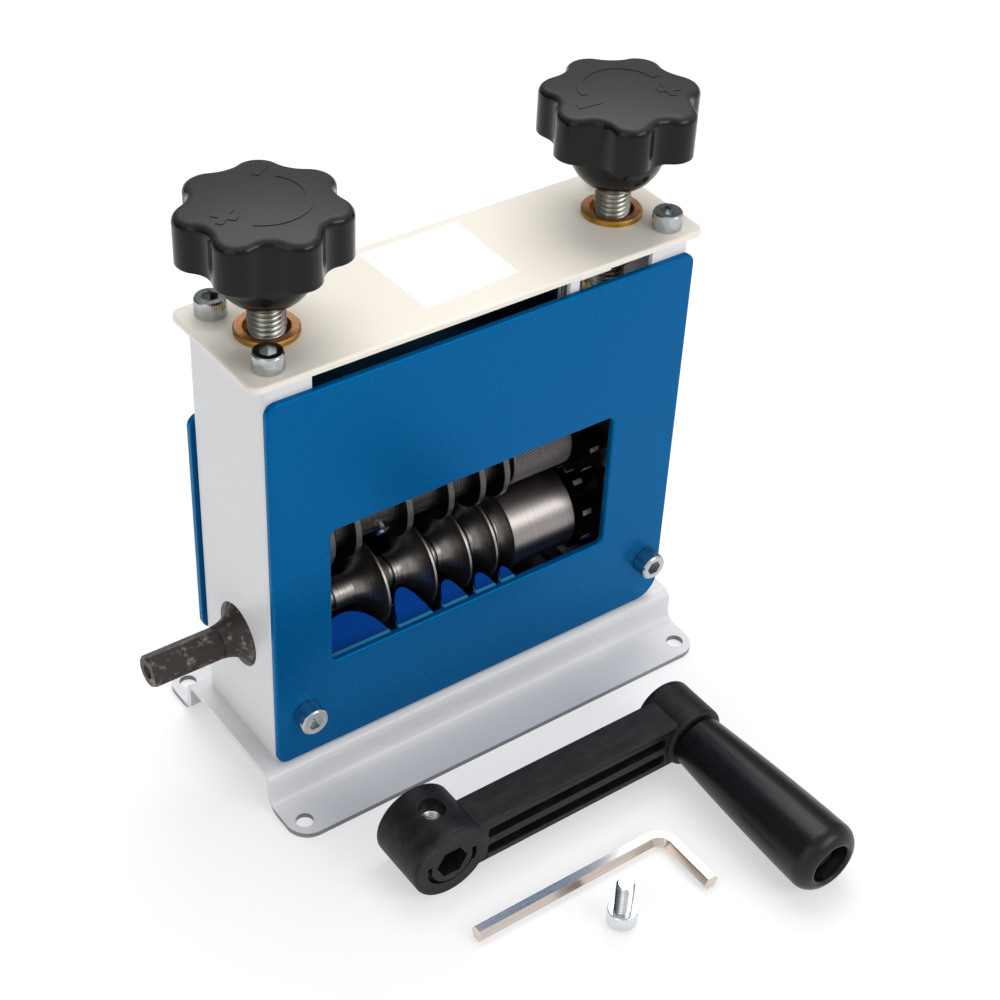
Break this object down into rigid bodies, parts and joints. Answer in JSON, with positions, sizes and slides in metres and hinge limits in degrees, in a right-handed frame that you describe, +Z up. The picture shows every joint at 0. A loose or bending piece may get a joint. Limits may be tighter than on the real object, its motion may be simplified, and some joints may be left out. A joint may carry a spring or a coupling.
{
  "type": "hand crank wire stripper",
  "caption": "Bench wire stripper: grooved roller and disc blades in a sheet frame, two star knobs set the blade height, with its loose crank, grip, hexagon key and clamp screw.",
  "frame": {"origin": "centre of the four mounting holes on the bench plane", "axes": "+X along the rollers, towards the gears; +Z up from the bench; the window side faces -Y"},
  "size_m": [0.2045, 0.2066, 0.2155],
  "materials": {
    "white_paint": "satin powder coat",
    "cream_paint": "satin powder coat",
    "blue_paint": "gloss powder coat",
    "zinc_steel": "bright zinc plate",
    "bronze": "turned",
    "block_steel": "machined",
    "bearing_steel": "ground",
    "dark_steel": "turned, oiled",
    "blade_steel": "ground",
    "knurl_steel": "knurled",
    "black_gear": "blackened",
    "black_knob": "moulded",
    "black_nylon": "moulded, grained",
    "black_grip": "smooth satin",
    "nickel": "nickel plate"
  },
  "bodies": {
    "frame": {"base_channel": "white_paint", "left_upright": "white_paint", "right_upright": "white_paint", "top_plate": "cream_paint", "top_plate_screws": "zinc_steel", "front_cover": "blue_paint", "front_cover_screws": "zinc_steel", "back_cover": "blue_paint", "back_cover_screws": "zinc_steel", "wire_comb": "blue_paint", "comb_screws": "zinc_steel", "base_screws": "zinc_steel", "cover_stay": "white_paint", "left_spindle_bush": "bronze", "right_spindle_bush": "bronze", "left_drive_housing": "block_steel", "right_drive_housing": "block_steel", "left_drive_bearing": "bearing_steel", "right_drive_bearing": "bearing_steel"},
    "drive": {"drive_roller": "dark_steel", "drive_gear": "black_gear", "drive_spacer": "dark_steel", "drive_retaining_ring": "dark_steel"},
    "carriage": {"left_slide_block": "block_steel", "right_slide_block": "block_steel", "left_blade_bush": "bronze", "right_blade_bush": "bronze", "left_keeper": "block_steel", "right_keeper": "block_steel", "keeper_screws": "zinc_steel"},
    "blades": {"blade_shaft": "dark_steel", "blade_disc_1": "blade_steel", "blade_disc_2": "blade_steel", "blade_disc_3": "blade_steel", "blade_disc_4": "blade_steel", "blade_disc_5": "blade_steel", "blade_disc_6": "blade_steel", "blade_spacer_1": "dark_steel", "blade_spacer_2": "dark_steel", "blade_spacer_3": "dark_steel", "blade_spacer_4": "dark_steel", "blade_spacer_5": "dark_steel", "blade_spacer_6": "dark_steel", "knurled_roller": "knurl_steel", "gear_spacer": "dark_steel", "driven_gear": "black_gear", "lock_collar": "dark_steel", "blade_set_screws": "zinc_steel"},
    "left_adjuster": {"left_spindle": "zinc_steel", "left_knob": "black_knob", "left_knob_insert": "bronze"},
    "right_adjuster": {"right_spindle": "zinc_steel", "right_knob": "black_knob", "right_knob_insert": "bronze"},
    "crank": {"crank_arm": "black_nylon", "crank_insert": "zinc_steel", "grip_screw": "zinc_steel"},
    "grip": {"crank_grip": "black_grip"},
    "key": {"hex_key": "nickel"},
    "clamp_screw": {"crank_clamp_screw": "zinc_steel"}
  },
  "joints": [
    {"name": "drive_spin", "type": "hinge", "parent": "frame", "child": "drive", "pos_m": [0, 0, 0.0555], "axis": [1, 0, 0], "continuous": true},
    {"name": "carriage_height", "type": "slide", "parent": "frame", "child": "carriage", "axis": [0, 0, 1], "range_m": [-0.0038, 0.0015]},
    {"name": "blade_spin", "type": "hinge", "parent": "carriage", "child": "blades", "pos_m": [0, 0, 0.0895], "axis": [1, 0, 0], "continuous": true},
    {"name": "left_knob_turn", "type": "hinge", "parent": "carriage", "child": "left_adjuster", "pos_m": [-0.0653, 0, 0.19], "axis": [0, 0, 1], "range_deg": [-782, 309]},
    {"name": "right_knob_turn", "type": "hinge", "parent": "carriage", "child": "right_adjuster", "pos_m": [0.0653, 0, 0.19], "axis": [0, 0, 1], "range_deg": [-782, 309]},
    {"name": "crank_lift", "type": "slide", "parent": "frame", "child": "crank", "axis": [0, 0, 1], "range_m": [0, 0.15]},
    {"name": "grip_spin", "type": "hinge", "parent": "crank", "child": "grip", "pos_m": [0.045, -0.12, 0.0142], "axis": [0, -1, 0], "continuous": true},
    {"name": "hex_key_lift", "type": "slide", "parent": "frame", "child": "key", "axis": [0, 0, 1], "range_m": [0, 0.15]},
    {"name": "clamp_screw_lift", "type": "slide", "parent": "frame", "child": "clamp_screw", "axis": [0, 0, 1], "range_m": [0, 0.15]}
  ],
  "couplings": [
    {"joint": "blade_spin", "follows": "drive_spin", "ratio": -1},
    {"joint": "left_knob_turn", "follows": "carriage_height", "rad_per_m": 3590.4},
    {"joint": "right_knob_turn", "follows": "carriage_height", "rad_per_m": 3590.4}
  ]
}
